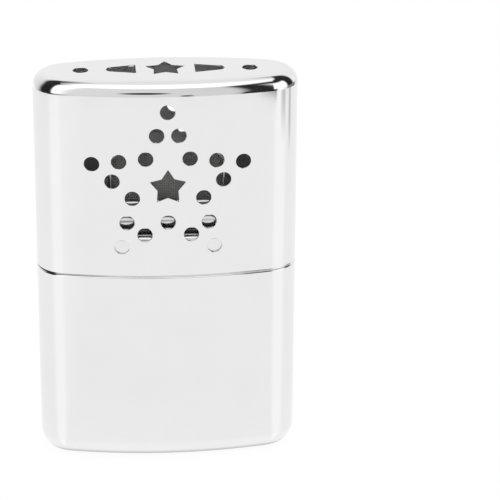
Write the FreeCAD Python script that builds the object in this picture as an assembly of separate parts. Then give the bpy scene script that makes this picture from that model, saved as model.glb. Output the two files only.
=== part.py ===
"""Catalytic hand warmer: chrome tank, perforated pull-off lid and pull-off burner head.

Frame: millimetres, +Z up, origin at the centre of the flat bottom, front wall towards -Y.
Each piece is written to parts/NODE.step.
"""
import FreeCAD
import Part
import math
import os

# ---- case: two drawn shells with one oval section ----
case_width = 66.0
case_depth = 23.0
bow_rise = 2.7             # how far the long sides bow out past the round narrow sides
tank_height = 51.9         # bottom to the tank's rim
lid_height = 51.1
sheet = 0.5                # case sheet
top_edge_radius = 3.4
bottom_edge_radius = 5.4

# ---- star of vents, the same in the front and back walls ----
vent_diameter = 3.75
vent_star_rise = 23.9      # centre of the star above the lid's rim
vent_star_outer = 19.8     # centre of the star to the hole at a tip
vent_star_inner = 9.35     # centre of the star to the hole at a notch
wall_star_outer = 4.7      # small star cut in the middle
wall_star_inner = 2.7

# ---- vents in the lid's top ----
top_star_outer = 5.2
top_star_inner = 2.95
top_star_shift = 0.5       # towards the back
slot_near = 7.35           # from the middle to the slot's wide end
slot_length = 7.35
slot_wide_end = 6.2
slot_narrow_end = 3.4
slot_shift = 0.3           # towards the back
top_vent_diameter = 3.8
top_vent_offset = 21.0

# ---- collar: closes the tank and guides the lid ----
collar_sheet = 0.5
collar_clearance = 0.08    # radial, to the lid and to the tank's mouth
collar_rise = 10.4         # from the bead to the shoulder
collar_drop = 4.0          # lap inside the tank's mouth
collar_edge_radius = 1.2
bead_height = 0.4
bead_inset = 0.3           # behind the outer face of the case

# ---- filler neck ----
neck_width = 28.7
neck_depth = 13.8
neck_corner_radius = 1.4
neck_sheet = 0.5
neck_rise = 5.3            # mouth above the shoulder
neck_flange = 1.2
neck_seat_gap = 0.04       # radial, where it passes through the shoulder
neck_lip_radius = 0.2

# ---- wick and fuel pack ----
grid_depth = 4.6           # grid below the neck's mouth
grid_sheet = 0.4
grid_rim = 1.8
grid_gap = 0.05            # radial, to the neck
grid_hole = 1.8
grid_pitch = 3.2
wick_gap = 0.3
wick_length = 6.8
cotton_gap = 0.3

# ---- burner head ----
burner_sheet = 0.4
burner_clearance = 0.08    # radial, on the neck
floor_lift = 0.1           # floor rim above the neck's mouth
floor_rim = 1.2
floor_gap = 0.03           # radial, to the skirt
floor_hole = 2.0
floor_pitch = 3.4
skirt_lap = 1.7            # skirt above the floor, round the strap's feet
arch_gap = 0.03            # to the skirt
arch_height = 14.8         # above the floor
arch_radius = 3.5
screen_thickness = 0.35
screen_recess = 0.15       # behind the strap's edge
screen_gap = 0.03          # to the strap
mat_gap = 0.3
mat_edge_radius = 1.6

least_radius = 0.1         # where a wall leaves less for an inner corner

# ---- levels ----
bead_top = tank_height + bead_height
case_height = bead_top + lid_height
vent_star_level = bead_top + vent_star_rise
shoulder_top = bead_top + collar_rise
shoulder_under = shoulder_top - collar_sheet
neck_mouth = shoulder_top + neck_rise
grid_top = neck_mouth - grid_depth
wick_top = grid_top - grid_sheet - wick_gap
cotton_top = wick_top - wick_length
floor_top = neck_mouth + floor_lift + floor_rim
skirt_top = floor_top + skirt_lap
burner_top = floor_top + arch_height

# ---- plan sizes that follow ----
nose_radius = case_depth / 2 - bow_rise
collar_inset = sheet + collar_clearance
collar_inner_inset = collar_inset + collar_sheet
skirt_inner_width = neck_width + 2 * burner_clearance
skirt_inner_depth = neck_depth + 2 * burner_clearance
skirt_inner_radius = neck_corner_radius + burner_clearance
arch_width = skirt_inner_width - 2 * arch_gap
arch_depth = skirt_inner_depth - 2 * arch_gap

up = FreeCAD.Vector(0, 0, 1)
backward = FreeCAD.Vector(0, 1, 0)


def point(x, y, z):
    return FreeCAD.Vector(x, y, z)


def oval_face(inset, z):
    """Case section: two bowed long sides, each tangent to the round narrow sides."""
    nose_x = case_width / 2 - nose_radius
    half_depth = case_depth / 2
    bow_radius = (half_depth**2 + nose_x**2 - nose_radius**2) / (case_depth - 2 * nose_radius)
    bow_y = bow_radius - half_depth
    reach = math.hypot(nose_x, bow_y)
    radius = bow_radius - inset
    join_x = nose_x * radius / reach
    join_y = bow_y * radius / reach - bow_y
    side = case_width / 2 - inset
    crown = half_depth - inset
    front = Part.Arc(point(-join_x, -join_y, z), point(0, -crown, z), point(join_x, -join_y, z))
    right = Part.Arc(point(join_x, -join_y, z), point(side, 0, z), point(join_x, join_y, z))
    back = Part.Arc(point(join_x, join_y, z), point(0, crown, z), point(-join_x, join_y, z))
    left = Part.Arc(point(-join_x, join_y, z), point(-side, 0, z), point(-join_x, -join_y, z))
    return Part.Face(Part.Wire([arc.toShape() for arc in (front, right, back, left)]))


def rounded_face(width, depth, radius, z):
    """Rectangle with round corners, centred on the upright axis."""
    plate = Part.makeBox(width, depth, 1, point(-width / 2, -depth / 2, z - 1))
    corners = [edge for edge in plate.Edges if edge.BoundBox.ZLength > 0.5]
    return highest_face(plate.makeFillet(max(radius, least_radius), corners))


def highest_face(solid):
    return max(solid.Faces, key=lambda face: face.CenterOfMass.z)


def prism(face, rise):
    return face.extrude(up * rise)


def edges_at(solid, z):
    """Edges that lie flat in the level z."""
    return [
        edge
        for edge in solid.Edges
        if abs(edge.BoundBox.ZMin - z) < 1e-4 and abs(edge.BoundBox.ZMax - z) < 1e-4
    ]


def oval_block(inset, bottom, top, radius, rounded_level):
    """Solid of the case's section with the edge at one level rounded."""
    block = prism(oval_face(inset, bottom), top - bottom)
    return block.makeFillet(radius, edges_at(block, rounded_level))


def star_points(outer, inner):
    """Ten corners of a five-pointed star, tip first, as pairs."""
    corners = []
    for corner in range(10):
        angle = math.pi / 2 + corner * math.pi / 5
        reach = outer if corner % 2 == 0 else inner
        corners.append((reach * math.cos(angle), reach * math.sin(angle)))
    return corners


def polygon_face(corners):
    return Part.Face(Part.makePolygon(corners + corners[:1]))


def wall_cutters():
    """Round vents on the corners and edge middles of a large star, and the small star."""
    run = case_depth + 2
    start = -run / 2
    corners = star_points(vent_star_outer, vent_star_inner)
    cutters = []
    for index, (x, rise) in enumerate(corners):
        next_x, next_rise = corners[(index + 1) % len(corners)]
        middle = ((x + next_x) / 2, (rise + next_rise) / 2)
        for hole_x, hole_rise in ((x, rise), middle):
            base = point(hole_x, start, vent_star_level + hole_rise)
            cutters.append(Part.makeCylinder(vent_diameter / 2, run, base, backward))
    small = [
        point(x, start, vent_star_level + rise)
        for x, rise in star_points(wall_star_outer, wall_star_inner)
    ]
    cutters.append(polygon_face(small).extrude(backward * run))
    return cutters


def slot_face(side, z):
    """Tapered slot: straight wide end, and a round narrow end that its long sides are tangent to."""
    end_radius = slot_narrow_end / 2
    centre = slot_near + slot_length - end_radius
    reach = math.hypot(slot_wide_end / 2, slot_near - centre)
    turn = math.atan2(slot_wide_end / 2, slot_near - centre) - math.acos(end_radius / reach)
    touch_x = centre + end_radius * math.cos(turn)
    touch_y = end_radius * math.sin(turn)
    near_back = point(side * slot_near, slot_shift + slot_wide_end / 2, z)
    near_front = point(side * slot_near, slot_shift - slot_wide_end / 2, z)
    far_back = point(side * touch_x, slot_shift + touch_y, z)
    far_front = point(side * touch_x, slot_shift - touch_y, z)
    tip = point(side * (centre + end_radius), slot_shift, z)
    outline = [
        Part.makeLine(near_front, near_back),
        Part.makeLine(near_back, far_back),
        Part.Arc(far_back, tip, far_front).toShape(),
        Part.makeLine(far_front, near_front),
    ]
    return Part.Face(Part.Wire(outline))


def top_cutters():
    """Star, two tapered slots and two round holes through the lid's top."""
    start = case_height - top_edge_radius
    run = top_edge_radius + 1
    star = [
        point(x, y + top_star_shift, start) for x, y in star_points(top_star_outer, top_star_inner)
    ]
    cutters = [prism(polygon_face(star), run)]
    for side in (-1, 1):
        cutters.append(prism(slot_face(side, start), run))
        base = point(side * top_vent_offset, 0, start)
        cutters.append(Part.makeCylinder(top_vent_diameter / 2, run, base, up))
    return cutters


def hole_grid(width, depth, hole, pitch, bottom, run):
    """Staggered rows of round holes that stay inside a width by depth field."""
    row_pitch = pitch * math.sqrt(3) / 2
    rows = int((depth - hole) / 2 / row_pitch)
    cutters = []
    for row in range(-rows, rows + 1):
        shift = pitch / 2 if row % 2 else 0
        half_count = int(((width - hole) / 2 - shift) / pitch)
        for column in range(-half_count - row % 2, half_count + 1):
            base = point(column * pitch + shift, row * row_pitch, bottom)
            cutters.append(Part.makeCylinder(hole / 2, run, base, up))
    return cutters


def lid_shell():
    shell = oval_block(0, bead_top, case_height, top_edge_radius, case_height)
    ceiling = case_height - sheet
    hollow = oval_block(sheet, bead_top, ceiling, top_edge_radius - sheet, ceiling)
    return shell.cut([hollow] + wall_cutters() + top_cutters())


def tank_shell():
    shell = oval_block(0, 0, tank_height, bottom_edge_radius, 0)
    hollow = oval_block(sheet, sheet, tank_height, bottom_edge_radius - sheet, sheet)
    return shell.cut(hollow)


def tank_collar():
    """Cup with its mouth down: wall, shoulder, and the bead that the lid's rim stops on."""
    bottom = tank_height - collar_drop
    wall = oval_block(collar_inset, bottom, shoulder_top, collar_edge_radius, shoulder_top)
    bead = prism(oval_face(bead_inset, tank_height), bead_height)
    inner_radius = collar_edge_radius - collar_sheet
    hollow = oval_block(collar_inner_inset, bottom, shoulder_under, inner_radius, shoulder_under)
    opening = rounded_face(
        neck_width + 2 * neck_seat_gap,
        neck_depth + 2 * neck_seat_gap,
        neck_corner_radius + neck_seat_gap,
        shoulder_under - 1,
    )
    return wall.fuse(bead).cut([hollow, prism(opening, collar_sheet + 2)]).removeSplitter()


def filler_neck():
    """Tube with a flange that seats under the shoulder."""
    bottom = shoulder_under - neck_sheet
    tube = prism(
        rounded_face(neck_width, neck_depth, neck_corner_radius, bottom),
        neck_mouth - bottom,
    )
    tube = tube.makeFillet(neck_lip_radius, edges_at(tube, neck_mouth))
    flange = prism(
        rounded_face(
            neck_width + 2 * neck_flange,
            neck_depth + 2 * neck_flange,
            neck_corner_radius + neck_flange,
            bottom,
        ),
        neck_sheet,
    )
    bore = prism(
        rounded_face(
            neck_width - 2 * neck_sheet,
            neck_depth - 2 * neck_sheet,
            neck_corner_radius - neck_sheet,
            bottom - 1,
        ),
        neck_mouth - bottom + 2,
    )
    return tube.fuse(flange).cut(bore).removeSplitter()


def perforated_tray(width, depth, radius, top, gauge, rim, hole, pitch):
    """Flat plate with its rim folded down and rows of holes."""
    plate = prism(rounded_face(width, depth, radius, top - rim), rim)
    field_width = width - 2 * gauge
    field_depth = depth - 2 * gauge
    hollow = prism(
        rounded_face(field_width, field_depth, radius - gauge, top - rim),
        rim - gauge,
    )
    holes = hole_grid(field_width - hole, field_depth - hole, hole, pitch, top - rim, rim + 1)
    return plate.cut([hollow] + holes)


def wick_grid():
    bite = 2 * (neck_sheet + grid_gap)
    return perforated_tray(
        neck_width - bite,
        neck_depth - bite,
        neck_corner_radius - neck_sheet - grid_gap,
        grid_top,
        grid_sheet,
        grid_rim,
        grid_hole,
        grid_pitch,
    )


def wick_felt():
    bite = neck_sheet + grid_gap + grid_sheet + wick_gap
    plan = rounded_face(neck_width - 2 * bite, neck_depth - 2 * bite, neck_corner_radius, cotton_top)
    return prism(plan, wick_length)


def cotton_pack():
    inset = collar_inner_inset + cotton_gap
    bottom = sheet + cotton_gap
    return oval_block(inset, bottom, cotton_top, bottom_edge_radius - inset, bottom)


def burner_skirt():
    outer = rounded_face(
        skirt_inner_width + 2 * burner_sheet,
        skirt_inner_depth + 2 * burner_sheet,
        skirt_inner_radius + burner_sheet,
        shoulder_top,
    )
    inner = rounded_face(skirt_inner_width, skirt_inner_depth, skirt_inner_radius, shoulder_top)
    rise = skirt_top - shoulder_top
    return prism(outer, rise).cut(prism(inner, rise))


def burner_floor():
    return perforated_tray(
        skirt_inner_width - 2 * floor_gap,
        skirt_inner_depth - 2 * floor_gap,
        skirt_inner_radius - floor_gap,
        floor_top,
        burner_sheet,
        floor_rim,
        floor_hole,
        floor_pitch,
    )


def arch_block(inset, front, back):
    """Solid with an upright outline that is round at its two top corners."""
    width = arch_width - 2 * inset
    block = Part.makeBox(
        width, back - front, arch_height - inset, point(-width / 2, front, floor_top)
    )
    corners = [
        edge
        for edge in edges_at(block, burner_top - inset)
        if edge.BoundBox.YLength > edge.BoundBox.XLength
    ]
    return block.makeFillet(arch_radius - inset, corners)


def narrowed_in_skirt(panel):
    """Panel with its square corners cut back where it goes down inside the round-cornered skirt."""
    corner = point(-arch_width, -arch_depth, floor_top)
    waste = Part.makeBox(2 * arch_width, 2 * arch_depth, skirt_lap, corner)
    plan = rounded_face(arch_width, arch_depth, skirt_inner_radius - arch_gap, floor_top)
    return panel.cut(waste.cut(prism(plan, skirt_lap)))


def burner_arch():
    """Strap that stands on the floor, laps the skirt inside and arches over the mat."""
    half_depth = arch_depth / 2
    strap = arch_block(0, -half_depth, half_depth)
    strap = strap.cut(arch_block(burner_sheet, -half_depth, half_depth))
    return narrowed_in_skirt(strap)


def screen(side):
    """Wire screen panel between the strap's legs, on the front (-1) or the back (1)."""
    outer_face = side * (arch_depth / 2 - screen_recess)
    inner_face = outer_face - side * screen_thickness
    front, back = sorted((outer_face, inner_face))
    return narrowed_in_skirt(arch_block(burner_sheet + screen_gap, front, back))


def catalyst_mat():
    """Pillow of fibre, clear of the screens and the strap."""
    half_depth = arch_depth / 2 - screen_recess - screen_thickness - mat_gap
    block = arch_block(burner_sheet + mat_gap, -half_depth, half_depth)
    uprights = [edge for edge in block.Edges if edge.BoundBox.XLength < 1e-4]
    uprights = [edge for edge in uprights if edge.BoundBox.YLength < 1e-4]
    return block.makeFillet(mat_edge_radius, uprights)


pieces = {
    "lid_shell": lid_shell(),
    "tank_shell": tank_shell(),
    "tank_collar": tank_collar(),
    "filler_neck": filler_neck(),
    "wick_grid": wick_grid(),
    "wick_felt": wick_felt(),
    "cotton_pack": cotton_pack(),
    "burner_skirt": burner_skirt(),
    "burner_floor": burner_floor(),
    "burner_arch": burner_arch(),
    "screen_front": screen(-1),
    "screen_back": screen(1),
    "catalyst_mat": catalyst_mat(),
}

os.makedirs("parts", exist_ok=True)
for node, shape in pieces.items():
    shape.exportStep(f"parts/{node}.step")
    size = shape.BoundBox
    print(
        f"{node:14s} solids {len(shape.Solids)} valid {shape.isValid()} volume {shape.Volume:9.1f}"
        f"  z {size.ZMin:6.2f} to {size.ZMax:6.2f}"
    )
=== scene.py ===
from functools import partial
from math import acos, atan2, ceil, cos, hypot, pi, radians, sin, sqrt, tan

import bpy
import numpy as np
from mathutils import Matrix, Vector
from mathutils.geometry import delaunay_2d_cdt


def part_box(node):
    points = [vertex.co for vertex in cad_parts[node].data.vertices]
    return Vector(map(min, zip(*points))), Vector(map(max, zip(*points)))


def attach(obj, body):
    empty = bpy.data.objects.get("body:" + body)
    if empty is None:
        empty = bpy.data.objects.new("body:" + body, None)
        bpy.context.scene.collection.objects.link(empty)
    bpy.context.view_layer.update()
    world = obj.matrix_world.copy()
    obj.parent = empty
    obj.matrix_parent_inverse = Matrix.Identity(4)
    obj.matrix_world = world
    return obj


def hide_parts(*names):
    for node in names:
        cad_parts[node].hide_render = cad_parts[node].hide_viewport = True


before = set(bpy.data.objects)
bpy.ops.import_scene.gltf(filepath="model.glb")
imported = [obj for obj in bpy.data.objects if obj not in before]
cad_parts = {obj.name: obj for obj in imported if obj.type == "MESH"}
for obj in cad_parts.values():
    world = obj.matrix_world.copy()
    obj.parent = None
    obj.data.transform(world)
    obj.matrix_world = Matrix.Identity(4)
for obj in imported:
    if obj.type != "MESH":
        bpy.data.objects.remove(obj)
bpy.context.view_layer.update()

millimetre = 0.001
white = (1, 1, 1, 1)
upwards = np.array([0.0, 0.0, 1.0])


def pick(sizes, names):
    # The values with these names, in this order.
    return [sizes[name] for name in names.split()]


def unit(vectors):
    return vectors / np.linalg.norm(vectors, axis=-1, keepdims=True)


def roundedOutline(corners, radii, arcSteps, closed=True):
    # An arc tangent to both sides takes each corner's place: centre plus radius times the turning
    # normal, on the right of the way round. An open path starts and ends on an arc.
    corners = np.asarray(corners, float)
    ahead = unit(np.roll(corners, -1, 0) - corners)
    behind = np.roll(ahead, 1, 0)
    if not closed:
        corners, ahead, behind = corners[1:-1], ahead[1:-1], behind[1:-1]
    cross = behind[:, 0] * ahead[:, 1] - behind[:, 1] * ahead[:, 0]
    turn = np.arctan2(cross, (behind * ahead).sum(1))
    reach = np.broadcast_to(radii, len(corners))
    bend = (np.sign(turn) * reach)[:, None]
    heading = np.arctan2(behind[:, 1], behind[:, 0])[:, None]
    heading = heading + turn[:, None] * np.linspace(0, 1, arcSteps + 1)
    normals = np.stack([np.sin(heading), -np.cos(heading)], -1)
    start = corners - (np.tan(np.abs(turn) / 2) * reach)[:, None] * behind
    centre = start - bend * normals[:, 0]
    points = (centre[:, None] + bend[:, None] * normals).reshape(-1, 2)
    normals = normals.reshape(-1, 2)
    apart = np.linalg.norm(points - np.roll(points, 1, 0), axis=1) > 1e-6
    apart[0] = apart[0] or not closed
    return points[apart], normals[apart]


def evenSides(points, normals, longest, closed=True):
    # Stretches longer than the limit get evenly spaced points, with normals in between.
    following = np.roll(points, -1, 0)
    lengths = np.linalg.norm(following - points, axis=1)
    if not closed:
        lengths[-1] = 0
    repeats = np.maximum(np.ceil(lengths / longest - 1e-6), 1).astype(int)
    index = np.repeat(np.arange(len(points)), repeats)
    first = np.repeat(np.cumsum(repeats) - repeats, repeats)
    share = ((np.arange(len(index)) - first) / repeats[index])[:, None]
    between = points[index] + share * (following - points)[index]
    leaning = normals[index] * (1 - share) + np.roll(normals, -1, 0)[index] * share
    return between, unit(leaning)


def circleOutline(x, y, radius, steps):
    # Centre plus radius times a turning direction.
    turn = np.linspace(0, 2 * pi, steps, endpoint=False)
    ways = np.stack([np.cos(turn), np.sin(turn)], -1)
    return (x, y) + radius * ways, ways


def starCorners(outer, inner, middle):
    # Ten corners that alternate between two circles, tip first.
    turn = pi / 2 + np.arange(10) * pi / 5
    reach = np.tile((outer, inner), 5)
    return np.stack([reach * np.cos(turn), middle + reach * np.sin(turn)], -1)


def insideOutline(points, outline):
    # Counts the outline's edges that a ray along +X crosses.
    x, y = points[:, 0, None], points[:, 1, None]
    hereX, hereY = outline.T
    thereX, thereY = np.roll(outline, -1, 0).T
    rise = thereY - hereY
    spans = (hereY > y) != (thereY > y)
    slope = (thereX - hereX) / np.where(rise == 0, 1, rise)
    return (spans & (x < hereX + (y - hereY) * slope)).sum(1) % 2 == 1


def insidePanel(points, boundary, holes):
    # Inside the boundary and outside every hole.
    inside = insideOutline(points, boundary)
    for hole in holes:
        inside &= ~insideOutline(points, hole)
    return inside


def newParts():
    return dict(points=[], normals=[], faces=[], finish=[], count=0)


def addPoints(parts, points, normals):
    # Returns the points' numbers in the shape of their grid.
    shape = points.shape[:-1]
    parts["points"].append(points.reshape(-1, 3))
    parts["normals"].append(np.broadcast_to(normals, points.shape).reshape(-1, 3))
    total = int(np.prod(shape))
    numbers = parts["count"] + np.arange(total).reshape(shape)
    parts["count"] += total
    return numbers


def quadFaces(numbers):
    # Joins each ring of numbers to the next one.
    beside = np.roll(numbers, -1, 1)
    return np.stack([numbers[:-1], numbers[1:], beside[1:], beside[:-1]], -1)


def addFaces(parts, faces, turned=False, finish=0):
    # The finish is the number of the faces' material, one for all or one for each.
    parts["finish"].append(np.broadcast_to(finish, faces.shape[:-1]).ravel())
    faces = faces.reshape(-1, faces.shape[-1])
    parts["faces"].append(faces[:, ::-1] if turned else faces)


def addFan(parts, ring, middle, normal, turned=False):
    # Closes a ring by triangles to one point.
    pole = np.full(len(ring), addPoints(parts, middle[None], normal)[0])
    addFaces(parts, np.stack([ring, np.roll(ring, -1), pole], -1), turned)


def makePiece(name, parts, keepNormals=True):
    # Puts whole arrays of points and faces into one mesh, in metres.
    points = np.concatenate(parts["points"]) * millimetre
    normals = np.concatenate(parts["normals"])
    mesh = bpy.data.meshes.new(name)
    mesh.from_pydata(points, [], [face for faces in parts["faces"] for face in faces.tolist()])
    mesh.validate()
    mesh.shade_smooth()
    finish = np.concatenate(parts["finish"]).astype(np.int32)
    mesh.polygons.foreach_set("material_index", finish)
    if keepNormals:
        mesh.normals_split_custom_set_from_vertices(normals.tolist())
    piece = bpy.data.objects.new(name, mesh)
    bpy.context.scene.collection.objects.link(piece)
    return piece


def dress(piece, materials, body, slotName, *nodes):
    for material in materials if isinstance(materials, tuple) else (materials,):
        piece.data.materials.append(material)
    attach(piece, body)
    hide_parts(*nodes)
    print("piece", piece.name, len(piece.data.polygons), "faces")


def fillPanel(boundary, outlines, spacing):
    # A staggered lattice clear of boundary and holes, joined to both by a Delaunay triangulation.
    # Gives the lattice points, and triangles that number boundary, holes, lattice.
    low, high = boundary.min(0), boundary.max(0)
    rowPitch = spacing * sqrt(3) / 2
    ys = np.arange(low[1] + rowPitch, high[1], rowPitch)
    gridX, gridY = np.meshgrid(np.arange(low[0], high[0], spacing), ys)
    gridX = gridX + np.where(np.arange(len(ys)) % 2, spacing / 2, 0)[:, None]
    lattice = np.stack([gridX.ravel(), gridY.ravel()], -1)
    rings = [boundary] + outlines
    edges = np.concatenate(rings)
    clearOfEdges, clearOfBox = 0.45 * spacing, 0.2 * spacing
    keep = np.linalg.norm(lattice[:, None] - edges, axis=-1).min(1) > clearOfEdges
    keep &= ((lattice > low + clearOfBox) & (lattice < high - clearOfBox)).all(1)
    lattice = lattice[keep & insidePanel(lattice, boundary, outlines)]
    links, first = [], 0
    for ring in rings:
        own = first + np.arange(len(ring))
        links += np.stack([own, np.roll(own, -1)], -1).tolist()
        first += len(ring)
    points = np.concatenate([edges, lattice])
    found = delaunay_2d_cdt([Vector(p) for p in points.tolist()], links, [], 0, 1e-6)
    origin = np.array([source[0] for source in found[3]])
    triangles = origin[np.array([face for face in found[2] if len(face) == 3])]
    corner = points[triangles]
    one, two = corner[:, 1] - corner[:, 0], corner[:, 2] - corner[:, 0]
    area = one[:, 0] * two[:, 1] - one[:, 1] * two[:, 0]
    triangles = np.where((area < 0)[:, None], triangles[:, ::-1], triangles)
    keep = insidePanel(corner.mean(1), boundary, outlines) & (np.abs(area) > 1e-9)
    return lattice, triangles[keep]


def punchedRim(outline, ways, bevel, gauge, steps=3):
    # Quarter round in, straight through, quarter round out: offset bevel (1 - sin), depth
    # bevel (1 - cos). Gives plan points, depths, and the shares of surface and outline normal.
    turn = np.linspace(0, pi / 2, steps + 1)
    sine, cosine = np.sin(turn), np.cos(turn)
    depth = bevel * (1 - cosine)
    depths = np.concatenate([depth, gauge - depth[::-1]])
    along = np.concatenate([cosine, -cosine[::-1]])
    across = -np.concatenate([sine, sine[::-1]])
    return outline + (bevel * (1 + across))[:, None, None] * ways, depths, along, across


def addPunched(parts, place, outlines, boundary, outerRing, innerRing, shell, turned):
    # Fills a panel on both faces of the sheet, with a rim through each hole. place turns plan
    # points and a depth into points and three directions: along both axes, and outwards.
    gauge, bevel = pick(shell, "gauge bevel")
    first, last = [outerRing], [innerRing]
    for outline, ways in outlines:
        plan, depths, along, across = punchedRim(outline, ways, bevel, gauge)
        points, axisU, axisV, outward = place(plan, depths[:, None])
        lean = ways[..., :1] * axisU + ways[..., 1:] * axisV
        normals = along[:, None, None] * outward + across[:, None, None] * lean
        numbers = addPoints(parts, points, normals)
        addFaces(parts, quadFaces(numbers), not turned)
        first.append(numbers[0])
        last.append(numbers[-1])
    edges = [outline + bevel * ways for outline, ways in outlines]
    lattice, triangles = fillPanel(boundary, edges, shell["lattice"])
    for rings, depth, side in ((first, 0.0, 1), (last, gauge, -1)):
        points, _, _, outward = place(lattice, np.full(len(lattice), depth))
        numbers = np.concatenate(rings + [addPoints(parts, points, side * outward)])
        finish = 0 if side > 0 else shell["insideFinish"]
        addFaces(parts, numbers[triangles], turned == (side > 0), finish)


def ovalPlan(case):
    # Four tangent arcs, each a centre plus a radius times a turning direction: front bow, right
    # nose, back bow, left nose. The bows' columns are given too, in the order of rising X.
    width, depth, rise = pick(case, "width depth bowRise")
    bowSteps, noseSteps = pick(case, "bowSteps noseSteps")
    half = depth / 2
    nose = half - rise
    noseX = width / 2 - nose
    bow = (half**2 + noseX**2 - nose**2) / (depth - 2 * nose)
    bowY = bow - half
    lean = atan2(noseX, bowY)
    stops = [-lean, lean, pi - lean, pi + lean, 2 * pi - lean]
    steps = [bowSteps, noseSteps] * 2
    centres = [(0, bowY, bow), (noseX, 0, nose), (0, -bowY, bow), (-noseX, 0, nose)]
    arcs = zip(stops, stops[1:], steps)
    turn = np.concatenate([np.linspace(*arc, endpoint=False) for arc in arcs])
    centre = np.repeat(np.array(centres), steps, axis=0)
    ways = np.stack([np.sin(turn), -np.cos(turn)], -1)
    frontColumns = np.arange(bowSteps + 1)
    backColumns = (bowSteps + noseSteps + frontColumns)[::-1]
    points, bows = centre[:, :2] + centre[:, 2:] * ways, ((-1, frontColumns), (1, backColumns))
    return dict(points=points, ways=ways, bows=bows, bow=bow, bowY=bowY)


def blockPlan(width, depth, radius, longest=3.0):
    # A rectangle with round corners.
    x, y = width / 2, depth / 2
    corners = [(-x, -y), (x, -y), (x, y), (-x, y)]
    points, ways = evenSides(*roundedOutline(corners, radius, arcSteps=8), longest)
    return dict(points=points, ways=ways)


def sweepRows(plan, rows, rowNormals):
    # Each row (inset, level): the outline minus inset times the way out, at the level.
    inset, level = rows[:, 0, None, None], rows[:, 1, None]
    flat = plan["points"] - inset * plan["ways"]
    level = np.broadcast_to(level, flat.shape[:2])
    points = np.concatenate([flat, level[..., None]], -1)
    out = -rowNormals[:, 0, None, None] * plan["ways"]
    rise = np.broadcast_to(rowNormals[:, 1, None], flat.shape[:2])
    return points, np.concatenate([out, rise[..., None]], -1)


def placeFlat(level, plan, depth):
    # On the cap, the depth goes straight down.
    heights = np.broadcast_to(level - depth, plan.shape[:-1])
    return np.concatenate([plan, heights[..., None]], -1), *np.eye(3)


def placeBowed(oval, side, plan, depth):
    # On a bowed wall: the bow's radius less the depth, by the angle whose sine is x over the bow.
    turn = np.arcsin(plan[..., 0] / oval["bow"])
    radius = oval["bow"] - depth
    sine, cosine, zero = np.sin(turn), np.cos(turn), np.zeros_like(turn)
    y = side * (radius * cosine - oval["bowY"])
    along = np.stack([cosine, -side * sine, zero], -1)
    out = np.stack([sine, side * cosine, zero], -1)
    return np.stack([radius * sine, y, plan[..., 1]], -1), along, upwards, out


def drawnShell(name, plan, shell, capHoles=(), wallHoles=()):
    # A sheet profile, from the cap's upper face round the rim to its lower face, carried round
    # the plan. The cap and the two bowed walls are filled panels where they have holes.
    rows = roundedOutline(*pick(shell, "path radii arcSteps"), closed=False)
    rows, rowNormals = evenSides(*rows, shell["longest"], closed=False)
    parts = newParts()
    numbers = addPoints(parts, *sweepRows(plan, rows, rowNormals))
    faces = quadFaces(numbers)
    keep = np.ones(faces.shape[:2], bool)
    inwards = rowNormals[:, 0]
    inside = np.maximum.accumulate(inwards[:-1] > 0.7)
    finish = np.broadcast_to(inside[:, None] * shell["insideFinish"], keep.shape)
    placeCap = partial(placeFlat, rows[0, 1])
    boundary = plan["points"] - rows[0, 0] * plan["ways"]
    addPunched(parts, placeCap, capHoles, boundary, numbers[0], numbers[-1], shell, False)
    if wallHoles:
        walls = [np.flatnonzero(inwards * way > 1 - 1e-9) for way in (-1, 1)]
        for side, columns in plan["bows"]:
            bands = [bandRing(wall[np.argsort(rows[wall, 1])], columns) for wall in walls]
            rowsRound, columnsRound = bands[0]
            boundary = np.stack([plan["points"][columnsRound, 0], rows[rowsRound, 1]], -1)
            rings = [numbers[band] for band in bands]
            placeWall = partial(placeBowed, plan, side)
            addPunched(parts, placeWall, wallHoles, boundary, *rings, shell, side > 0)
            for wall in walls:
                keep[wall.min() : wall.max(), columns.min() : columns.max()] = False
    addFaces(parts, faces[keep], finish=finish[keep])
    return makePiece(name, parts)


def bandRing(wallRows, columns):
    # Once round a band of the grid: low row, right column, high row, left column.
    grid = np.stack(np.meshgrid(wallRows, columns, indexing="ij"), -1)
    return tuple(np.concatenate([grid[0], grid[1:-1, -1], grid[-1, ::-1], grid[-2:0:-1, 0]]).T)


def sweptRing(name, plan, profile, radii, arcSteps=4):
    # A closed sheet profile carried round the plan.
    rows, rowNormals = evenSides(*roundedOutline(profile, radii, arcSteps), longest=4.0)
    parts = newParts()
    numbers = addPoints(parts, *sweepRows(plan, rows, rowNormals))
    addFaces(parts, quadFaces(np.concatenate([numbers, numbers[:1]])))
    return makePiece(name, parts)


def feed(node, **inputs):
    # Links a node's sockets or sets their values. i and a number mean a socket by its place.
    for key, value in inputs.items():
        numbered = key[0] == "i" and key[1:].isdigit()
        socket = node.inputs[int(key[1:]) if numbered else key.replace("_", " ")]
        if isinstance(value, bpy.types.NodeSocket):
            node.id_data.links.new(value, socket)
        else:
            socket.default_value = value
    return node.outputs


def newMaterial(name, base, metallic, roughness, **others):
    material = bpy.data.materials.new(name)
    material.use_nodes = True
    tree = material.node_tree
    shader = tree.nodes["Principled BSDF"]
    feed(shader, Base_Color=(*base, 1), Metallic=metallic, Roughness=roughness, **others)
    return material, tree, shader


def addNode(tree, kind, settings=None, **inputs):
    # Gives the new node's outputs.
    node = tree.nodes.new("ShaderNode" + kind)
    for key, value in (settings or {}).items():
        setattr(node, key, value)
    return feed(node, **inputs)


def mathOf(operation, one, two=0.0, three=0.0):
    # This and the helpers below work in the node tree of the socket that they are given.
    settings = dict(operation=operation)
    return addNode(one.id_data, "Math", settings, i0=one, i1=two, i2=three)[0]


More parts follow.
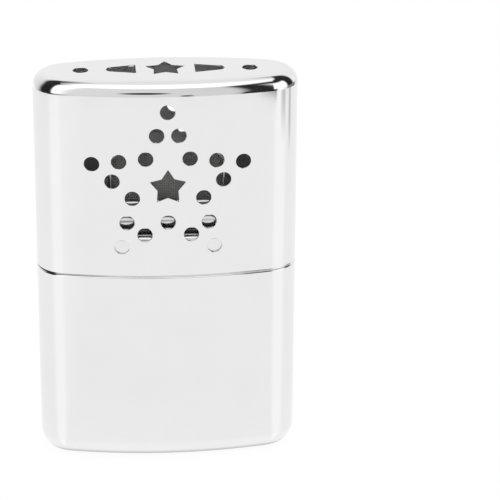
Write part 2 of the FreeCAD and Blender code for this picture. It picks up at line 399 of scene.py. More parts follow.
def riseOf(value, middle, soft):
    # 0 below the middle and 1 above it, over a soft edge.
    above = mathOf("DIVIDE", mathOf("SUBTRACT", value, middle), soft)
    settings = dict(interpolation_type="SMOOTHSTEP")
    spans = dict(i1=-0.5, i2=0.5, i3=0.0, i4=1.0)
    return addNode(value.id_data, "MapRange", settings, Value=above, **spans)["Result"]


def windowOf(value, low, high, soft):
    # 1 between low and high, falling to 0 over a soft edge.
    over = riseOf(value, high, soft)
    return mathOf("SUBTRACT", riseOf(value, low, soft), over)


def mixOf(share, one, two):
    settings = dict(data_type="FLOAT")
    return addNode(share.id_data, "Mix", settings, i0=share, i2=one, i3=two)[0]


def turnOf(across, forward):
    # Degrees round a spot, 0 in front and positive to the right.
    return mathOf("MULTIPLY", mathOf("ARCTAN2", across, forward), 180 / pi)


def separate(tree, coordinates):
    return addNode(tree, "SeparateXYZ", Vector=addNode(tree, "TexCoord")[coordinates])


def objectSpot(tree, scale=(1, 1, 1)):
    # Object coordinates, stretched where a pattern runs one way.
    spot = addNode(tree, "TexCoord")["Object"]
    return addNode(tree, "Mapping", Vector=spot, Scale=scale)["Vector"]


def noiseOf(spot, scale, detail, roughness=0.5):
    sizes = dict(Scale=scale, Detail=detail, Roughness=roughness)
    return addNode(spot.id_data, "TexNoise", Vector=spot, **sizes)["Fac"]


def rangeOf(value, low, high, fromLow=0.3, fromHigh=0.7):
    spans = dict(i1=fromLow, i2=fromHigh, i3=low, i4=high)
    return addNode(value.id_data, "MapRange", Value=value, **spans)["Result"]


def blendOf(share, one, two):
    # Mixes two colours by a share.
    settings = dict(data_type="RGBA")
    one, two = ((*tone, 1) if isinstance(tone, tuple) else tone for tone in (one, two))
    return addNode(share.id_data, "Mix", settings, Factor=share, i6=one, i7=two)[2]


def bumpOf(shader, height, strength, distance):
    sizes = dict(Height=height, Strength=strength, Distance=distance)
    feed(shader, Normal=addNode(shader.id_data, "Bump", **sizes)["Normal"])


chromeFinish = dict(
    caseChrome=dict(base=0.80, roughness=(0.035, 0.075), wave=0.12, rub=0.10),
    lidInside=dict(
        base=0.80, roughness=(0.45, 0.62), wave=0.2, rub=0.6,
        # Painted shade on the lid's inside, darker below a level.
        stainsAndPaintedShade=dict(tone=0.34, level=67, soft=6),
    ),
    collarChrome=dict(
        base=0.78, roughness=(0.06, 0.13), wave=0.15, rub=0.25,
        # Painted shade on the collar close round the burner's foot.
        paintedFootShade=dict(tone=0.22, halfWidth=14.85, halfDepth=7.4, reach=1.3, soft=1.0),
        # Painted shade on the seam's bead, darkest at its left end.
        paintedSeamShade=dict(bead=(51.8, 52.4, 0.1), end=(-28.3, 1.5, 0.05), middle=(-17, 16, 0.5)),
    ),
    neckNickel=dict(base=0.66, roughness=(0.12, 0.24), wave=0.15, rub=0.20),
    burnerPlate=dict(base=0.88, roughness=(0.06, 0.14), wave=0.18, rub=0.20),
    strapFace=dict(base=0.34, roughness=(0.42, 0.55), wave=0.2, rub=0.4),
    strapEdge=dict(base=0.82, roughness=(0.22, 0.34), wave=0.2, rub=0.4),
)


def plated(name):
    # Bright plate: roughness drifts over wide smudges and fine lengthwise rub lines, and the
    # sheet waves very slightly. Sizes in the finish are millimetres.
    finish = chromeFinish[name]
    shade = (finish["base"],) * 3
    material, tree, shader = newMaterial(name, shade, 1.0, finish["roughness"][0])
    spot = objectSpot(tree)
    place = addNode(tree, "SeparateXYZ", Vector=spot)

    def step(value, middle, soft):
        return riseOf(value, middle * millimetre, soft * millimetre)

    smudge = noiseOf(spot, 90, 2)
    lines = noiseOf(objectSpot(tree, (4, 4, 0.25)), 2600, 2)
    both = mathOf("MULTIPLY_ADD", lines, finish["rub"], smudge)
    feed(shader, Roughness=rangeOf(both, *finish["roughness"]))
    tint = blendOf(rangeOf(smudge, 0, 1), shade, tuple(0.985 * v for v in shade))
    if "stainsAndPaintedShade" in finish:
        # Painted shade: darker below a level, by a smooth step on the height.
        stainsAndPaintedShade = finish["stainsAndPaintedShade"]
        share = step(place["Z"], *pick(stainsAndPaintedShade, "level soft"))
        tint = blendOf(share, (stainsAndPaintedShade["tone"],) * 3, tint)
    if "paintedFootShade" in finish:
        # Painted shade: darker close round the burner, by a smooth step on the distance from its
        # foot.
        paintedFootShade = finish["paintedFootShade"]
        past = [
            mathOf("SUBTRACT", mathOf("ABSOLUTE", place[axis]), half * millimetre)
            for axis, half in zip("XY", pick(paintedFootShade, "halfWidth halfDepth"))
        ]
        share = step(mathOf("MAXIMUM", *past), *pick(paintedFootShade, "reach soft"))
        tint = blendOf(share, (paintedFootShade["tone"],) * 3, tint)
    if "paintedSeamShade" in finish:
        # Painted shade in the seam: the bead is darkest at its left end, and fades towards the
        # middle.
        paintedSeamShade, kept = finish["paintedSeamShade"], 1.0
        for part in ("middle", "end"):
            across, soft, tone = paintedSeamShade[part]
            kept = mixOf(step(place["X"], across, soft), tone, kept)
        low, high, soft = paintedSeamShade["bead"]
        onBead = mathOf("SUBTRACT", step(place["Z"], low, soft), step(place["Z"], high, soft))
        tint = blendOf(mixOf(onBead, 1.0, kept), (0.0, 0.0, 0.0), tint)
    feed(shader, Base_Color=tint)
    bumpOf(shader, noiseOf(spot, 55, 1), finish["wave"], 0.00003)
    return material


def punchedSteel():
    # Bare rolled plate: fine grain one way, over soft stains.
    material, tree, shader = newMaterial("punchedSteel", (0.45, 0.45, 0.45), 1.0, 0.35)
    grain = noiseOf(objectSpot(tree, (1, 12, 12)), 900, 4, 0.6)
    stainsAndPaintedShade = noiseOf(objectSpot(tree), 240, 3)
    feed(shader, Roughness=rangeOf(grain, 0.28, 0.46))
    shade = blendOf(rangeOf(stainsAndPaintedShade, 0, 1), (0.47, 0.47, 0.46), (0.36, 0.355, 0.35))
    feed(shader, Base_Color=shade)
    bumpOf(shader, grain, 0.25, 0.00002)
    return material


def screenWire():
    # Heat-darkened wire: a dull skin with brighter worn spots.
    material, tree, shader = newMaterial("screenWire", (0.62, 0.62, 0.62), 0.85, 0.5)
    stainsAndPaintedShade = noiseOf(objectSpot(tree), 1400, 3)
    shade = blendOf(rangeOf(stainsAndPaintedShade, 0, 1), (0.54, 0.54, 0.54), (0.7, 0.69, 0.68))
    feed(shader, Base_Color=shade)
    feed(shader, Roughness=rangeOf(stainsAndPaintedShade, 0.62, 0.46))
    bumpOf(shader, noiseOf(objectSpot(tree), 9000, 2), 0.2, 0.00001)
    return material


fibreFinish = dict(
    catalystFibre=dict(
        dark=(0.24, 0.24, 0.237), light=(0.46, 0.455, 0.45),
        sheen=0.15, scale=700, lift=0.9,
    ),
    woolFelt=dict(
        dark=(0.52, 0.5, 0.46), light=(0.7, 0.68, 0.63),
        sheen=0.35, scale=1100, lift=0.6,
    ),
    cottonFibre=dict(
        dark=(0.7, 0.69, 0.66), light=(0.86, 0.855, 0.84),
        sheen=0.5, scale=420, lift=1.0,
    ),
)


def fibrous(name):
    # Matted fibre: two noises stretched different ways stand for strands that cross, over soft
    # lumps of tone.
    finish = fibreFinish[name]
    dark, light, scale = pick(finish, "dark light scale")
    material, tree, shader = newMaterial(
        name, light, 0.0, 0.95, Sheen_Weight=finish["sheen"], Sheen_Roughness=0.6
    )
    strands = mathOf("MAXIMUM", *(
        noiseOf(objectSpot(tree, stretch), scale, 4, 0.65)
        for stretch in ((0.35, 1, 2.4), (2.2, 1, 0.4))
    ))
    lumps = noiseOf(objectSpot(tree), scale / 5, 2)
    share = rangeOf(mathOf("MULTIPLY_ADD", lumps, 0.5, strands), 0, 1, 0.55, 0.95)
    feed(shader, Base_Color=blendOf(share, dark, light))
    bumpOf(shader, strands, finish["lift"], 0.0002)
    return material


caseChrome, lidInside, collarChrome, neckNickel, burnerPlate, strapFace, strapEdge = map(
    plated, chromeFinish
)
steelPlate, wireMaterial = punchedSteel(), screenWire()
catalystFibre, woolFelt, cottonFibre = map(fibrous, fibreFinish)
print("materials ready")


caseShape = dict(
    width=66.0, depth=23.0, bowRise=2.7, gauge=0.5,
    tankTop=51.9, lidBottom=52.3, lidTop=103.4,
    topRadius=3.4, bottomRadius=5.4,
    rimRadius=0.16, tankRimRadius=0.42, tankRimFlat=0.02,
    bowSteps=48, noseSteps=40,
)
ventShape = dict(
    level=76.2, outer=19.8, inner=9.35, radius=1.875,
    starOuter=4.7, starInner=2.7, tipRadius=0.12, notchRadius=0.25,
    bevel=0.12, steps=48,
)
topShape = dict(
    starOuter=5.2, starInner=2.95, starShift=0.5,
    slotNear=7.35, slotTip=14.7, slotHalfWide=3.1, slotShift=0.3,
    slotTipRadius=1.7, slotCornerRadius=0.25,
    holeRadius=1.9, holeOffset=21.0,
)


def starOutline(outer, inner, middle):
    # A star with round tips and notches.
    radii = pick(ventShape, "tipRadius notchRadius") * 5
    corners = starCorners(outer, inner, middle)
    return evenSides(*roundedOutline(corners, radii, arcSteps=5), longest=0.7)


def wallVents():
    # A round hole on each corner and each edge middle of a large star, and a small star.
    outer, inner, level, radius, steps = pick(ventShape, "outer inner level radius steps")
    corners = starCorners(outer, inner, level)
    middles = (corners + np.roll(corners, -1, 0)) / 2
    holes = [circleOutline(x, z, radius, steps) for x, z in np.concatenate([corners, middles])]
    return holes + [starOutline(*pick(ventShape, "starOuter starInner level"))]


def slotOutline(side):
    # A tapered slot: its long sides are the tangents from the wide end to the round tip.
    near, far, wide, shift = pick(topShape, "slotNear slotTip slotHalfWide slotShift")
    tip, corner = pick(topShape, "slotTipRadius slotCornerRadius")
    back = near - (far - tip)
    turn = atan2(wide, back) - acos(tip / hypot(wide, back))
    touchX, touchY = far - tip + tip * cos(turn), tip * sin(turn)
    slope = (touchY - wide) / (touchX - near)
    farY = touchY + slope * (far - touchX)
    corners = np.array([(near, -wide), (far, -farY), (far, farY), (near, wide)])
    if side < 0:
        corners = corners[::-1] * (-1, 1)
    corners = corners + (0, shift)
    radii = [corner, tip, tip, corner]
    return evenSides(*roundedOutline(corners, radii, arcSteps=8), longest=1.0)


def topVents():
    # A star, and on both sides of it a slot and a round hole.
    radius, offset = pick(topShape, "holeRadius holeOffset")
    holes = [starOutline(*pick(topShape, "starOuter starInner starShift"))]
    for side in (-1, 1):
        holes.append(slotOutline(side))
        holes.append(circleOutline(side * offset, 0, radius, ventShape["steps"]))
    return holes


def shellSizes(path, radii, lattice, arcSteps=10, insideFinish=0):
    return dict(
        path=path, radii=radii, gauge=caseShape["gauge"], bevel=ventShape["bevel"],
        lattice=lattice, arcSteps=arcSteps, longest=8.0, insideFinish=insideFinish,
    )


def buildCase():
    plan = ovalPlan(caseShape)
    gauge, rim, top, bottom, edge = pick(caseShape, "gauge rimRadius lidTop lidBottom topRadius")
    path = [
        (edge, top), (0, top), (0, bottom),
        (gauge, bottom), (gauge, top - gauge), (edge, top - gauge),
    ]
    shell = shellSizes(path, [edge, rim, rim, edge - gauge], lattice=2.2, insideFinish=1)
    lid = drawnShell("lidPerforated", plan, shell, topVents(), wallVents())
    dress(lid, (caseChrome, lidInside), "lid", "case_chrome", "lid_shell")

    top, edge, rim, flat = pick(caseShape, "tankTop bottomRadius tankRimRadius tankRimFlat")
    path = [(edge, gauge), (gauge, gauge), (gauge, top), (0, top), (0, 0), (edge, 0)]
    radii = [edge - gauge, gauge - rim - flat, rim, edge]
    tank = drawnShell("tankCase", plan, shellSizes(path, radii, lattice=3.0))
    dress(tank, caseChrome, "tank", "case_chrome", "tank_shell")


collarShape = dict(
    outer=0.58, bead=0.1, bottom=47.9, top=62.7,
    edgeRadius=1.2, creaseRadius=0.06, beadRadius=0.19, rimRadius=0.18,
    openingWidth=28.78, openingDepth=13.88, openingRadius=1.44,
)


def buildCollar():
    gauge, *seam = pick(caseShape, "gauge lidBottom tankTop")
    outer, bead, top, bottom = pick(collarShape, "outer bead top bottom")
    edge, crease, lip, rim = pick(collarShape, "edgeRadius creaseRadius beadRadius rimRadius")
    inner, cap = outer + gauge, outer + edge
    path = [
        (cap, top), (outer, top), (outer, seam[0]), (bead, seam[0]),
        (bead, seam[1]), (outer, seam[1]), (outer, bottom), (inner, bottom),
        (inner, top - gauge), (cap, top - gauge),
    ]
    radii = [edge, crease, lip, lip, crease, rim, rim, edge - gauge]
    opening = blockPlan(*pick(collarShape, "openingWidth openingDepth openingRadius"))
    mouth = [pick(opening, "points ways")]
    shell = shellSizes(path, radii, lattice=2.6, arcSteps=8)
    piece = drawnShell("collarCup", ovalPlan(caseShape), shell, mouth)
    dress(piece, collarChrome, "tank", "collar_chrome", "tank_collar")


buildCase()
buildCollar()


neckShape = dict(
    width=28.7, depth=13.8, radius=1.4, gauge=0.5,
    mouth=68.0, seat=62.2, flange=1.2, edgeRadii=[0.2, 0.15, 0.2, 0.2, 0.1, 0.2],
)


def buildNeck():
    gauge, flange, mouth, seat = pick(neckShape, "gauge flange mouth seat")
    profile = [
        (0, mouth), (0, seat), (-flange, seat),
        (-flange, seat - gauge), (gauge, seat - gauge), (gauge, mouth),
    ]
    plan = blockPlan(*pick(neckShape, "width depth radius"))
    piece = sweptRing("fillerNeck", plan, profile, neckShape["edgeRadii"])
    dress(piece, neckNickel, "tank", "neck_plate", "filler_neck")


def smooth(share):
    # Eases in and out: three squares less two cubes.
    return share * share * (3 - 2 * share)


def softNoise(points, pitch, seed):
    # Random heights on a cubic lattice, blended smoothly in between, from 0 to 1.
    heights = np.random.default_rng(seed).random((64, 64, 64))
    place = points / pitch + 32
    cell = np.floor(place).astype(int)
    part = smooth(place - cell)
    total = np.zeros(points.shape[:-1])
    for corner in np.ndindex(2, 2, 2):
        spot = (cell + corner) % 64
        weight = np.prod(np.where(corner, part, 1 - part), axis=-1)
        total += weight * heights[spot[..., 0], spot[..., 1], spot[..., 2]]
    return total


def softBlock(name, outline, centre, span, axis, soft):
    # Rings of the outline, scaled about the centre by a share and set at a level along the axis:
    # a rounded profile gives both. Lumps pull inwards, so the piece stays inside its solid.
    low, high = span
    wide, middle = soft["halfWidth"], (low + high) / 2
    rows = [(0, low), (wide, low), (wide, high), (0, high)]
    rows, _ = roundedOutline(rows, soft["edgeRadius"], 8, closed=False)
    rows = np.concatenate([[(0.0, low)], rows, [(0.0, high)]])
    rows, _ = evenSides(rows, np.ones_like(rows), soft["step"], closed=False)
    share = rows[:, 0] / wide
    crown = 1 - soft["crown"] * share**2 * (np.abs(rows[:, 1] - middle) / (high - low) * 2)
    level = middle + (rows[:, 1] - middle) * crown
    flat = centre + share[1:-1, None, None] * (outline - centre)
    levels = np.broadcast_to(level[1:-1, None], flat.shape[:2])
    order = dict(z=(0, 1, 2), y=(0, 2, 1))[axis]
    points = np.concatenate([flat, levels[..., None]], -1)[..., order]
    poles = np.array([[*centre, level[0]], [*centre, level[-1]]])[:, order]
    core = np.array([*centre, middle])[list(order)]
    parts, turned, noNormal = newParts(), axis == "y", np.zeros(3)
    numbers = addPoints(parts, lumpy(points, core, soft), noNormal)
    addFaces(parts, quadFaces(numbers), not turned)
    poles = lumpy(poles, core, soft)
    addFan(parts, numbers[0], poles[0], noNormal, not turned)
    addFan(parts, numbers[-1], poles[1], noNormal, turned)
    return makePiece(name, parts, keepNormals=False)


def lumpy(points, core, soft):
    # Points moved towards the core by three sizes of lump: finer share of the pitch, seed, weight.
    lumps = 0
    for finer, seed, weight in ((1, 5, 0.65), (3.1, 9, 0.25), (8.3, 13, 0.10)):
        lumps = lumps + softNoise(points, soft["lumpPitch"] / finer, seed) * weight
    return points + lumps[..., None] * soft["lump"] * unit(core - points)


softShape = dict(
    wickPad=dict(
        halfWidth=10.0, edgeRadius=1.1, step=0.5, crown=0.05,
        lump=0.22, lumpPitch=2.6, cornerRadius=1.4, outlineStep=0.5,
    ),
    cottonFill=dict(
        halfWidth=10.0, edgeRadius=3.2, step=0.9, crown=0.02,
        lump=0.9, lumpPitch=4.5, bowSteps=70, noseSteps=30,
    ),
    fibreMat=dict(
        halfWidth=7.0, edgeRadius=2.2, step=0.35, crown=0.06,
        lump=0.55, lumpPitch=1.9, cornerRadii=[1.2, 1.2, 2.8, 2.8], outlineStep=0.4,
    ),
)


def buildWick():
    low, high = np.array(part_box("wick_felt")) / millimetre
    soft, centre, (wide, deep, _) = softShape["wickPad"], np.zeros(2), high - low
    plan = blockPlan(wide, deep, soft["cornerRadius"], longest=soft["outlineStep"])
    piece = softBlock("wickPad", plan["points"], centre, (low[2], high[2]), "z", soft)
    dress(piece, woolFelt, "tank", "felt", "wick_felt")

    low, high = np.array(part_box("cotton_pack")) / millimetre
    soft = softShape["cottonFill"]
    plan = ovalPlan(caseShape | soft)
    outline = plan["points"] - (caseShape["width"] / 2 - high[0]) * plan["ways"]
    piece = softBlock("cottonFill", outline, centre, (low[2], high[2]), "z", soft)
    dress(piece, cottonFibre, "tank", "cotton", "cotton_pack")


buildNeck()
buildWick()
print("neck and wick ready")


burnerShape = dict(
    gauge=0.4, edgeRadius=0.01,
    skirtWidth=29.66, skirtDepth=14.76, skirtRadius=1.88,
    skirtBottom=62.7, skirtTop=71.0,
    shoulderLevel=70.58, shoulderLean=40, shoulderRadius=1.45,
    beadTop=66.97, beadTopRadius=0.25, beadLean=30, beadRadius=5.0,
    beadMiddle=64.4, beadFootLean=50, beadFootRadius=2.1, footRadii=(0.02, 0.05),
    strapWidth=28.8, strapHalfDepth=6.95, strapLapHalfDepth=5.4,
    strapBottom=69.3, strapTop=84.1, strapRadius=3.5,
    strapEdgeRadius=0.12, strapStep=0.3, strapFlare=(0.05, 0.7),
)


def buildSkirt():
    # A sleeve whose top edge leans in. The bead round its foot is two tangent arcs: a wide one
    # down to its middle and a smaller one that turns in under it.
    burner = burnerShape
    plan = blockPlan(*pick(burner, "skirtWidth skirtDepth skirtRadius"))
    low, high, gauge = pick(burner, "skirtBottom skirtTop gauge")
    beadTop, middle, shoulder = pick(burner, "beadTop beadMiddle shoulderLevel")
    bead, foot, edge = pick(burner, "beadRadius beadFootRadius edgeRadius")
    lean, footLean, shoulderLean = map(radians, pick(burner, "beadLean beadFootLean shoulderLean"))
    kneeLevel = middle + bead * tan(lean / 2)
    footLevel = middle - foot * tan(footLean / 2)
    proud = (beadTop - kneeLevel) * tan(lean)
    footInset = (footLevel - low) * tan(footLean) - proud
    topInset = (high - shoulder) * tan(shoulderLean)
    profile = [
        (topInset, high), (0, shoulder), (0, beadTop), (-proud, kneeLevel),
        (-proud, footLevel), (footInset, low), (gauge, low), (gauge, high),
    ]
    upper = pick(burner, "shoulderRadius beadTopRadius")
    radii = [edge, *upper, bead, foot, *burner["footRadii"], edge]
    piece = sweptRing("burnerSkirt", plan, profile, radii, 10)
    dress(piece, burnerPlate, "burner", "burner_plate", "burner_skirt")


def buildStrap():
    # A flat strip carried up one side, over two round corners and down the other. It widens
    # smoothly just above the skirt.
    burner = burnerShape
    wide, deep, gauge = pick(burner, "strapWidth strapHalfDepth gauge")
    low, high = pick(burner, "strapBottom strapTop")
    half = wide / 2
    run = [(half, low - 1), (half, high), (-half, high), (-half, low - 1)]
    path, ways = roundedOutline(run, burner["strapRadius"], 12, closed=False)
    path = np.concatenate([[(half, low)], path, [(-half, low)]])
    ways = np.concatenate([ways[:1], ways, ways[-1:]])
    path, ways = evenSides(path, ways, burner["strapStep"], closed=False)
    strip = [(-deep, -gauge), (deep, -gauge), (deep, 0), (-deep, 0)]
    strip, lean = roundedOutline(strip, burner["strapEdgeRadius"], 4)
    start, over = burner["strapFlare"]
    rise = smooth(np.clip((path[:, 1] - burner["skirtTop"] - start) / over, 0, 1))
    narrow = (1 - rise) * (deep - burner["strapLapHalfDepth"])
    y = strip[:, 0] - np.sign(strip[:, 0]) * narrow[:, None]
    flat = path[:, None] + strip[:, 1, None] * ways[:, None]
    points = np.stack([flat[..., 0], y, flat[..., 1]], -1)
    out = lean[:, 1, None] * ways[:, None]
    side = np.broadcast_to(lean[:, 0], out.shape[:2])
    parts = newParts()
    numbers = addPoints(parts, points, np.stack([out[..., 0], side, out[..., 1]], -1))
    edges = np.abs(lean[:, 0]) + np.abs(np.roll(lean[:, 0], -1)) > 0.8
    addFaces(parts, quadFaces(numbers), finish=edges)
    addFan(parts, numbers[0], points[0].mean(0), -upwards)
    addFan(parts, numbers[-1], points[-1].mean(0), -upwards, True)
    piece = makePiece("burnerStrap", parts)
    dress(piece, (strapFace, strapEdge), "burner", "burner_plate", "burner_arch")


screenShape = dict(
    pitch=0.45, wire=0.15, sides=5, perCrossing=3, centreY=6.625,
    halfWidth=13.96, lapHalfWidth=13.45, cornerRadius=3.05,
    bottom=69.34, lapTop=71.05, top=83.64,
)


def wireTubes(starts, ends, axis, phase, side):
    # A small polygon carried along each wire, which runs straight along one axis and waves by a
    # cosine over and under the wires that it crosses.
    pitch, wire, sides = pick(screenShape, "pitch wire sides")
    perCrossing, centreY = pick(screenShape, "perCrossing centreY")
    radius = wire / 2
    crossings = int((ends - starts)[:, axis].max() / pitch)
    share = np.linspace(0, 1, crossings * perCrossing + 1)
    line = starts[:, None] + share[:, None] * (ends - starts)[:, None]
    swing = pi * line[..., axis] / pitch
    wave = radius * np.cos(swing) * phase[:, None]
    slope = -radius * pi / pitch * np.sin(swing) * phase[:, None]
    tilt = 1 / np.sqrt(1 + slope**2)
    turn = np.arange(sides) * 2 * pi / sides
    spread, rise = radius * np.cos(turn), radius * np.sin(turn)
    points = np.zeros(line.shape[:2] + (sides, 3))
    points[..., 2 * axis] = line[..., axis, None] - rise * (slope * tilt)[..., None]
    points[..., 2 - 2 * axis] = line[..., 1 - axis, None] + spread
    points[..., 1] = side * (centreY + wave[..., None] + rise * tilt[..., None])
    return points


def addTubes(parts, points, turned):
    numbers = addPoints(parts, points, np.zeros(3))
    for wire in numbers:
        addFaces(parts, quadFaces(wire), not turned)
        addFaces(parts, wire[0][None], not turned)
        addFaces(parts, wire[-1][None], turned)


def buildScreen(name, node, side):
    # Uprights and cross wires end on the strap's outline, and over and under take turns.
    pitch, wire, half, radius = pick(screenShape, "pitch wire halfWidth cornerRadius")
    low, high, lapHalf, lapTop = pick(screenShape, "bottom top lapHalfWidth lapTop")
    squareTop, parts = high - radius, newParts()
    count = int(half / pitch)
    columns = np.arange(-count, count + 1)
    x = columns * pitch
    bend = np.clip(np.abs(x) - (half - radius), 0, radius)
    top = squareTop + np.sqrt(radius**2 - bend**2)
    bottom = np.where(np.abs(x) > lapHalf, lapTop, low)
    ends = np.stack([x, bottom], -1), np.stack([x, top], -1)
    phase = np.where(columns % 2, -1, 1)
    addTubes(parts, wireTubes(*ends, 1, phase, side), side < 0)
    rows = np.arange(ceil((low + wire) / pitch), int((high - wire) / pitch) + 1)
    level = rows * pitch
    bend = np.clip(level - squareTop, 0, radius)
    wide = half - radius + np.sqrt(radius**2 - bend**2)
    wide = np.where(level < lapTop, lapHalf, wide)
    ends = np.stack([-wide, level], -1), np.stack([wide, level], -1)
    phase = np.where(rows % 2, 1, -1)
    addTubes(parts, wireTubes(*ends, 0, phase, side), side > 0)
    piece = makePiece(name, parts, keepNormals=False)
    dress(piece, wireMaterial, "burner", "screen_wire", node)


def buildMat():
    low, high = np.array(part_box("catalyst_mat")) / millimetre
    soft = softShape["fibreMat"]
    corners = [(low[0], low[2]), (high[0], low[2]), (high[0], high[2]), (low[0], high[2])]
    outline = roundedOutline(corners, soft["cornerRadii"], 8)
    outline, _ = evenSides(*outline, soft["outlineStep"])
    centre = np.array([0.0, (low[2] + high[2]) / 2])
    piece = softBlock("fibreMat", outline, centre, (low[1], high[1]), "y", soft)
    dress(piece, catalystFibre, "burner", "catalyst_fibre", "catalyst_mat")


buildSkirt()
buildStrap()
buildScreen("frontScreen", "screen_front", -1)
buildScreen("backScreen", "screen_back", 1)
buildMat()
for node in ("wick_grid", "burner_floor"):
    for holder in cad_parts[node].material_slots:
        holder.material = steelPlate
print("burner ready")


cameraPlace = dict(
    spot=(-0.026326, -0.5959, 0.312579), lens=183.18, sensor=36.0,
    angles=(-4.58, 23.4, 0.46),  # azimuth, elevation, roll
)
studio = dict(
    lowTop=(-9, -4),  # elevation where the walls start, left and right
    gapSoft=(22, 14),  # soft edge over the walls, left and right
    gapTone=0.028,
    ceiling=dict(slope=-2.0, middle=1.1, least=0.95, most=1.4),
    softEdge=8,
    floorRings=[
        -8.6, -6.5, -5.4, -4.6, -4.0, -3.4, -2.8, -2.2, -1.6, -1, 0, 2, 5, 10, 20, 40,
        80, 140, 200, 286,
    ],
    # Painted shadow under the case and brighter ring round it: ring reach, share of glow kept.
    paintedLightNearCase=[(-3.4, 0.52), (-2.4, 0.72), (-1.0, 1.06), (1, 1.09), (10, 1.03), (30, 1.0)],
    floorStreaks=[
        dict(turns=(62, 77), soft=10, reach=0.278, over=0.060, lost=0.45),
        dict(turns=(90.5, 99.5), soft=6, reach=0.258, over=0.040, lost=0.42),
        dict(turns=(31, 46), soft=6, reach=0.295, over=0.010, lost=0.70),
    ],
    bands=dict(left=(26, 66), right=(36, 78), corner=(0.0278, 0.0081), soft=22),
    bandLift=(0.10, 0.015),
    floorGlow=0.90, floorShade=0.13, softLight=0.9,
)


def buildCamera():
    # Looks against the direction of its azimuth and elevation, after a roll about it.
    azimuth, elevation, roll = map(radians, cameraPlace["angles"])
    turn = Matrix.Rotation(azimuth, 4, "Z") @ Matrix.Rotation(pi / 2 - elevation, 4, "X")
    turn = turn @ Matrix.Rotation(roll, 4, "Z")
    lens = bpy.data.cameras.new("camera")
    lens.lens, lens.sensor_width = pick(cameraPlace, "lens sensor")
    lens.clip_start = 0.01
    camera = bpy.data.objects.new("camera", lens)
    camera.matrix_world = Matrix.Translation(cameraPlace["spot"]) @ turn
    bpy.context.scene.collection.objects.link(camera)
    bpy.context.scene.camera = camera


def rampOf(share, stops, full):
    # Straight lines between stops, by the share of the turn round the object.
    ramp = addNode(share.id_data, "ValToRGB", Fac=share)["Color"]
    elements = ramp.node.color_ramp.elements
    while len(elements) < len(stops):
        elements.new(0.5)
    for element, (degrees, value) in zip(elements, stops.items()):
        element.position = degrees / 360 + 0.5
        element.color = (value / full,) * 3 + (1,)
    return mathOf("MULTIPLY", ramp, full)


# By degrees round the object, 0 in front and positive to its right: brightness of the walls and
# of what lies under them, and the elevations where the walls end and the ceiling starts.
wallTones = {
    -180: 1.04, -156: 1.03, -140: 0.97, -124: 0.92, -112: 0.82, -106: 0.68, -100: 0.38,
    -94: 0.07, -90: 0.02, -60: 0.02, -57: 0.3, -54: 0.95, -51: 1.35, -25.5: 1.35, -23: 0.88,
    19.5: 0.78, 22.0: 0.6, 23.2: 0.03, 30.5: 0.02, 32.5: 0.5, 35: 1.35, 78: 1.35, 81: 0.95,
    84: 0.12, 87: 0.02, 105: 0.02, 108: 0.12, 111: 0.7, 116: 1.08, 122: 1.12, 129: 1.0,
    180: 1.02,
}
lowTones = {
    -180: 1.2, -140: 1.15, -126: 0.97, -112: 0.66, -104: 0.4, -96: 0.1, -88: 0.03, -58: 0.02,
    -53: 0.05, -47: 0.22, -40: 0.42, -32: 0.32, -25: 0.45, -22: 0.84, 19: 0.8, 21.3: 0.6,
    22.4: 0.03, 36: 0.02, 42: 0.15, 47: 1.0, 52: 1.35, 66: 1.15, 79: 0.9, 84: 0.45, 90: 0.28,
    104: 0.24, 112: 0.28, 118: 0.12, 125: 0.85, 140: 1.0, 180: 1.12,
}
wallTops = {
    -180: 80, -168: 78, -160: 68, -152: 61, -144: 59, -136: 55.5, -128: 51, -120: 47, -112: 42,
    -104: 35, -96: 31, -66: 50, -60: 58, -56: 61, -48: 62, -40: 66, -34: 75, -26: 82, 20: 82,
    24: 55, 28: 43, 60: 40.5, 80: 41, 88: 36, 104: 10, 112: 25, 120: 38.5, 128: 45, 144: 51.5,
    156: 59, 166: 72, 180: 80,
}
ceilingEdges = {
    -180: 58, -168: 66, -160: 70, -152: 74, -144: 77, -136: 78.5, -120: 80.2, -104: 80.3,
    -88: 79, -72: 77, -64: 76, -56: 73.5, -48: 71, -40: 66, -32: 60, -24: 52, 20: 51, 26: 51,
    32: 54, 40: 58, 48: 60.5, 56: 63.5, 64: 65.5, 80: 66.5, 88: 68, 112: 69, 128: 69, 144: 67.5,
    152: 64.5, 160: 60, 168: 55, 180: 50,
}
# Small dark things far off: azimuth, elevation, half width, half height, share of light lost.
farSpots = [(-3.4, 11, 7.4, 9.5, 0.97), (7.5, -12, 2, 8, 0.85)]


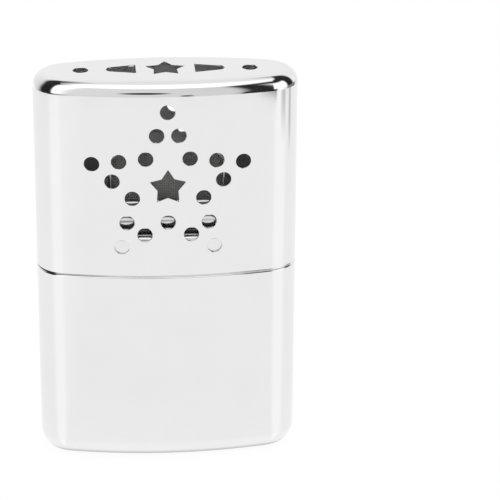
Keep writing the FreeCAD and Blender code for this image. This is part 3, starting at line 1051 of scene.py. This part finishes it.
def buildWorld():
    # By azimuth and elevation: the low part, the walls, a dark gap over them, the ceiling, and
    # the far spots, each an ellipse.
    world = bpy.data.worlds.new("studio")
    bpy.context.scene.world = world
    world.use_nodes = True
    tree = world.node_tree
    tree.nodes.clear()
    way = separate(tree, "Generated")
    azimuth = turnOf(way["X"], mathOf("MULTIPLY", way["Y"], -1.0))
    elevation = mathOf("MULTIPLY", mathOf("ARCSINE", way["Z"]), 180 / pi)
    share = mathOf("MULTIPLY_ADD", azimuth, 1 / 360, 0.5)
    wall, low = rampOf(share, wallTones, 1.5), rampOf(share, lowTones, 1.5)
    tops, edges = rampOf(share, wallTops, 90), rampOf(share, ceilingEdges, 90)
    rightward = riseOf(azimuth, 0, 20)
    foot, gap = (mixOf(rightward, *studio[key]) for key in ("lowTop", "gapSoft"))
    tone = mixOf(riseOf(elevation, foot, studio["softEdge"]), low, wall)
    tone = mixOf(riseOf(elevation, tops, gap), tone, studio["gapTone"])
    slope, middle, least, most = pick(studio["ceiling"], "slope middle least most")
    ceiling = mathOf("MAXIMUM", mathOf("MULTIPLY_ADD", way["Y"], slope, middle), least)
    ceiling = mathOf("MINIMUM", ceiling, most)
    tone = mixOf(riseOf(elevation, edges, studio["softEdge"]), tone, ceiling)
    for turned, raised, wide, high, lost in farSpots:
        across = mathOf("DIVIDE", mathOf("SUBTRACT", azimuth, turned), wide)
        over = mathOf("DIVIDE", mathOf("SUBTRACT", elevation, raised), high)
        away = mathOf("MULTIPLY_ADD", across, across, mathOf("MULTIPLY", over, over))
        kept = mixOf(riseOf(away, 0.7, 0.9), 1 - lost, 1.0)
        tone = mathOf("MULTIPLY", tone, kept)
    path = addNode(tree, "LightPath")
    seen, glossy, clear = (
        addNode(tree, "Background", Color=colour, Strength=strength)[0]
        for colour, strength in ((white, studio["softLight"]), (tone, 1.0), (white, 1.0))
    )
    rays = ("Is Glossy Ray", glossy), ("Is Transmission Ray", clear), ("Is Camera Ray", clear)
    for ray, light in rays:
        seen = addNode(tree, "MixShader", i0=path[ray], i1=seen, i2=light)[0]
    addNode(tree, "OutputWorld", Surface=seen)


def sideBand(spot, side, name):
    # A wedge of the floor between two directions from a corner of the case.
    bands = studio["bands"]
    x, y = bands["corner"]
    across = mathOf("MULTIPLY_ADD", spot["X"], side, -x)
    forward = mathOf("MULTIPLY_ADD", spot["Y"], -1.0, -y)
    return windowOf(turnOf(across, forward), *bands[name], bands["soft"])


def floorStreak(spot, streak):
    # The share of light kept on a patch of the floor, between two directions from the object's
    # middle and past a distance from it.
    x, y = spot["X"], spot["Y"]
    turn = turnOf(x, mathOf("MULTIPLY", y, -1.0))
    square = mathOf("MULTIPLY_ADD", x, x, mathOf("MULTIPLY", y, y))
    away = riseOf(mathOf("SQRT", square), *pick(streak, "reach over"))
    inside = mathOf("MULTIPLY", away, windowOf(turn, *streak["turns"], streak["soft"]))
    return mathOf("MULTIPLY_ADD", inside, -streak["lost"], 1.0)


def buildFloor():
    # A flat sheet in rings: the case's outline moved outwards by a reach. Its glow gives the plain
    # white, its matt share keeps the shadow, and mirrored its glow carries a painted shadow under
    # the case and a painted brighter ring round it.
    plan = ovalPlan(caseShape)
    reach = np.array(studio["floorRings"])
    flat = plan["points"] + reach[:, None, None] * plan["ways"]
    points = np.pad(flat, [(0, 0), (0, 0), (0, 1)])
    parts = newParts()
    numbers = addPoints(parts, points, upwards)
    addFaces(parts, quadFaces(numbers))
    addFan(parts, numbers[0], np.zeros(3), upwards)
    floor = makePiece("studioFloor", parts)
    paintedLightShare = np.interp(reach, *zip(*studio["paintedLightNearCase"]))
    values = np.append(np.repeat(paintedLightShare, flat.shape[1]), paintedLightShare[0])
    near = floor.data.attributes.new("near", "FLOAT", "POINT")
    near.data.foreach_set("value", values.astype(np.float32))
    material = bpy.data.materials.new("paleFloor")
    material.use_nodes = True
    tree = material.node_tree
    tree.nodes.clear()
    spot, glow = separate(tree, "Object"), studio["floorGlow"]
    bands = mathOf("ADD", sideBand(spot, -1, "left"), sideBand(spot, 1, "right"))
    lift = mathOf("MULTIPLY_ADD", bands, *studio["bandLift"])
    # Painted shadow under the case and painted brighter ring round it, for reflections only.
    share = addNode(tree, "Attribute", {"attribute_name": "near"})["Fac"]
    mirrored = mathOf("MULTIPLY_ADD", share, glow, lift)
    for streak in studio["floorStreaks"]:
        mirrored = mathOf("MULTIPLY", mirrored, floorStreak(spot, streak))
    ray = addNode(tree, "LightPath")["Is Glossy Ray"]
    strength = mixOf(ray, glow, mirrored)
    glow = addNode(tree, "Emission", Color=white, Strength=strength)
    matt = addNode(tree, "BsdfDiffuse", Color=(*(studio["floorShade"],) * 3, 1))
    both = addNode(tree, "AddShader", i0=glow[0], i1=matt[0])
    addNode(tree, "OutputMaterial", Surface=both[0])
    floor.data.materials.append(material)


buildCamera()
buildWorld()
buildFloor()
bpy.context.scene.view_settings.view_transform = "Standard"
print("studio ready")
